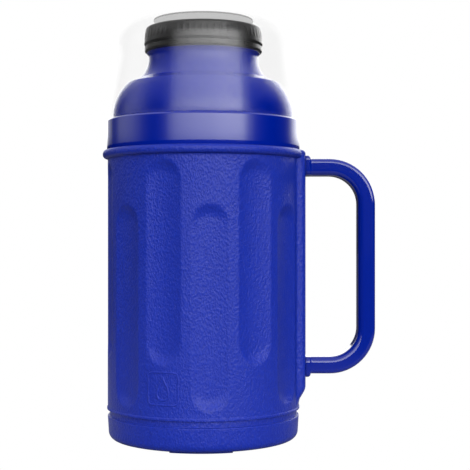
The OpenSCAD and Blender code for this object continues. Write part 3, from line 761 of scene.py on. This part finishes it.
def bar_section(inward, outward, half_w, r_in, r_out, n=7):
    """Closed outline of the bar: (away from the fingers, across), with its own corner radius on each side.

    Two points close to each corner hold the sides flat, so that smooth shading doesn't bend them.
    """
    hold = 0.25
    a, b, c, d = outward - r_out - hold, -inward + r_in + hold, half_w - r_in - hold, half_w - r_out - hold
    return np.concatenate([
        arc(outward - r_out, half_w - r_out, r_out, 0, 90, n), [[a, half_w], [b, half_w]],
        arc(-inward + r_in, half_w - r_in, r_in, 90, 180, n), [[-inward, c], [-inward, -c]],
        arc(-inward + r_in, -half_w + r_in, r_in, 180, 270, n), [[b, -half_w], [a, -half_w]],
        arc(outward - r_out, -half_w + r_out, r_out, 270, 360, n), [[outward, -d], [outward, d]],
    ])


def bar_row(place, out, grow, lip):
    """One ring of the bar at place, whose outward side is out; grow and lip swell it into a flange."""
    half = BAR_T / 2
    s = bar_section(half, half + lip, BAR_W / 2 + grow, 4.4, 3.0)
    return place + s[:, :1] * out + s[:, 1:] * np.array([0.0, 1.0, 0.0])


def leg_rows(z, way):
    """Rings of a leg from the rail outwards, with its flange's rounded edges first."""
    out = np.array([0.0, 0.0, way])
    x0 = handle_low[0]
    d = np.concatenate([[0.0, 0.15, 0.5], FLANGE_T - FLANGE_LIP * np.cos(np.linspace(0, np.pi / 2, 9))])
    swell = np.sqrt(np.clip(1 - np.clip((d - FLANGE_T + FLANGE_LIP) / FLANGE_LIP, 0, 1) ** 2, 0, 1))
    swell[:2] = 0.9, 0.97
    rows = [bar_row(np.array([x0 + a, 0, z]), out, 1.2 * b, FLANGE_LIP * b) for a, b in zip(d, swell)]
    straight = np.linspace(x0 + FLANGE_T + 2, bar_x - CORNER, 6)[:-1]
    rows += [bar_row(np.array([x, 0, z]), out, 0, 0) for x in straight]
    return rows


def corner_rows(z, a0, a1):
    """Rings of a quarter turn about the corner's middle."""
    rows = []
    for a in np.radians(np.linspace(a0, a1, 17)):
        out = np.array([np.cos(a), 0, np.sin(a)])
        rows.append(bar_row(np.array([bar_x - CORNER, 0, z]) + CORNER * out, out, 0, 0))
    return rows


grip = [bar_row(np.array([bar_x, 0, z]), np.array([1.0, 0, 0]), 0, 0)
        for z in np.linspace(high_leg_z - CORNER, low_leg_z + CORNER, 26)[1:-1]]
handle_grid = np.array(
    leg_rows(high_leg_z, 1.0) + corner_rows(high_leg_z - CORNER, 90, 0) + grip
    + corner_rows(low_leg_z + CORNER, 0, -90) + leg_rows(low_leg_z, -1.0)[::-1]
)
skin("side_handle", handle_grid[:, ::-1], material=handle_blue, stands_for=["handle"])

# %% [markdown]
# ## Studio
# The jug stands on a white table in a white studio, seen from a little above its middle through a long
# lens, so that its sides stay upright.

# %% Camera
SENSOR_MM = 36.0
LENS_MM = 88.9277
EYE = np.array([24.2, -891.0, 155.6]) * MM
eye = bpy.data.cameras.new("eye")
eye.sensor_width = SENSOR_MM
eye.lens = LENS_MM
camera = bpy.data.objects.new("eye", eye)
camera.location = EYE
camera.rotation_euler = (np.pi / 2, 0, 0)
bpy.context.scene.collection.objects.link(camera)
bpy.context.scene.camera = camera
bpy.context.scene.view_settings.view_transform = "Standard"
print("lens", round(eye.lens, 1), "mm")


# %% [markdown]
# One tall soft panel stands in front, a little to the right, from just above eye level up: it draws the
# broad upright highlight. A dim one stands at the far left, and pale walls stand behind. Seen from the
# jug, each is only a brightness for each bearing, so the whole studio is one curve in the world shader,
# and nothing has hard edges. The curve fades out below PANEL_FOOT, which keeps upright faces that mirror
# the floor a deep blue, and gives way to a dim even ceiling over the range CEILING; both are heights of a
# direction, from 0 level to 1 straight up.

# %% Studio light as a curve over the bearing
PANEL_PEAK = 8.0
PANEL_FOOT = (0.07, 0.088)
FLOOR_SHARE = 0.02
CEILING = (0.3, 0.72)
CEILING_LIGHT = 1.1
bearing_light = [
    (-180, 2.5), (-165, 2.2), (-152, 0.8), (-140, 0.5), (-131, 0.16), (-112, 0.95), (-96, 1.25), (-83, 0.9),
    (-71, 0.3), (-59, 0.1), (-50, 0.25), (-38, 2.0), (-28, 3.8), (-9, 5.3), (10, 6.2), (30, 7.4), (41, 7.4),
    (50, 5.2),
    (60, 1.4), (71, 0.2), (84, 0.02), (98, 0.02), (114, 0.15), (125, 0.9), (136, 2.8), (150, 3.6), (165, 3.2),
    (180, 2.5),
]
world = bpy.data.worlds.new("studio")
world.use_nodes = True
bpy.context.scene.world = world
sky = world.node_tree
for old in list(sky.nodes):
    sky.nodes.remove(old)
way = node(sky, "ShaderNodeSeparateXYZ", Vector=node(sky, "ShaderNodeTexCoord").outputs["Generated"])
towards_eye = node(sky, "ShaderNodeMath", {"operation": "MULTIPLY"}, i0=way.outputs["Y"], i1=-1.0)
bearing = node(sky, "ShaderNodeMath", {"operation": "ARCTAN2"}, i0=way.outputs["X"], i1=towards_eye.outputs[0])
part_turn = node(
    sky, "ShaderNodeMapRange", Value=bearing.outputs[0], From_Min=-np.pi, From_Max=np.pi, To_Min=0.0, To_Max=1.0
)
curve = node(sky, "ShaderNodeFloatCurve", Value=part_turn.outputs[0])
line = curve.mapping.curves[0]
line.points[0].location = (0.0, bearing_light[0][1] / PANEL_PEAK)
line.points[1].location = (1.0, bearing_light[-1][1] / PANEL_PEAK)
for degrees, radiance in bearing_light[1:-1]:
    line.points.new(degrees / 360 + 0.5, radiance / PANEL_PEAK)
curve.mapping.update()
foot = node(
    sky, "ShaderNodeMapRange", {"interpolation_type": "SMOOTHSTEP"},
    Value=way.outputs["Z"], From_Min=PANEL_FOOT[0], From_Max=PANEL_FOOT[1],
    To_Min=FLOOR_SHARE * PANEL_PEAK, To_Max=PANEL_PEAK,
)
sides = node(sky, "ShaderNodeMath", {"operation": "MULTIPLY"}, i0=curve.outputs[0], i1=foot.outputs[0])
high = node(
    sky, "ShaderNodeMapRange", {"interpolation_type": "SMOOTHSTEP"},
    Value=way.outputs["Z"], From_Min=CEILING[0], From_Max=CEILING[1], To_Min=0.0, To_Max=1.0,
)
studio_light = node(
    sky, "ShaderNodeMix", {"data_type": "FLOAT"}, Factor=high.outputs[0], i2=sides.outputs[0], i3=CEILING_LIGHT
)
lit = node(sky, "ShaderNodeBackground", Color=(1, 1, 1, 1), Strength=studio_light.outputs[0])
white = node(sky, "ShaderNodeBackground", Color=(1, 1, 1, 1), Strength=1.0)
rays = node(sky, "ShaderNodeLightPath")
mixed = node(sky, "ShaderNodeMixShader", i0=rays.outputs["Is Camera Ray"], i1=lit.outputs[0], i2=white.outputs[0])
node(sky, "ShaderNodeOutputWorld", Surface=mixed.outputs[0])
print("studio light:", len(bearing_light), "bearings")

# %% [markdown]
# The table is a sheet of white acrylic that glows white for the camera, so that it looks as white as the
# wall behind it. It gives light back to the jug only from close by, because its colour is a painted pool of
# light: pale grey near the jug and dark grey further out, as a table under one lamp looks, so upright faces
# that mirror the far end of it stay deep blue.

# %% Table
TABLE_M = 8.0
NEAR_M, FAR_M = 0.3, 0.8
table_mesh = bpy.data.meshes.new("lit_table")
square = [(-TABLE_M, -TABLE_M, 0), (TABLE_M, -TABLE_M, 0), (TABLE_M, TABLE_M, 0), (-TABLE_M, TABLE_M, 0)]
table_mesh.from_pydata(square, [], [(0, 1, 2, 3)])
table = bpy.data.objects.new("lit_table", table_mesh)
bpy.context.scene.collection.objects.link(table)
acrylic, top_tree, top_shader = finish("lit_white_acrylic", Roughness=0.9, Specular_IOR_Level=0.0)
far_off = node(top_tree, "ShaderNodeVectorMath", {"operation": "LENGTH"},
               i0=node(top_tree, "ShaderNodeTexCoord").outputs["Object"])
dimming = node(top_tree, "ShaderNodeMapRange", {"interpolation_type": "SMOOTHSTEP"},
               Value=far_off.outputs["Value"], From_Min=NEAR_M, From_Max=FAR_M, To_Min=0.0, To_Max=1.0)
# Painted pool of light: pale grey within NEAR_M of the jug, fading to dark grey beyond FAR_M.
shade = node(top_tree, "ShaderNodeMix", {"data_type": "RGBA"},
             Factor=dimming.outputs[0], i6=screen("#a4a4a4"), i7=screen("#404040"))
top_tree.links.new(shade.outputs[2], top_shader.inputs["Base Color"])
top_glow = node(top_tree, "ShaderNodeEmission", Strength=1.0)
top_rays = node(top_tree, "ShaderNodeLightPath")
top_mix = node(
    top_tree, "ShaderNodeMixShader",
    i0=top_rays.outputs["Is Camera Ray"], i1=top_shader.outputs[0], i2=top_glow.outputs[0],
)
top_tree.links.new(top_mix.outputs[0], top_tree.nodes["Material Output"].inputs["Surface"])
table_mesh.materials.append(acrylic)
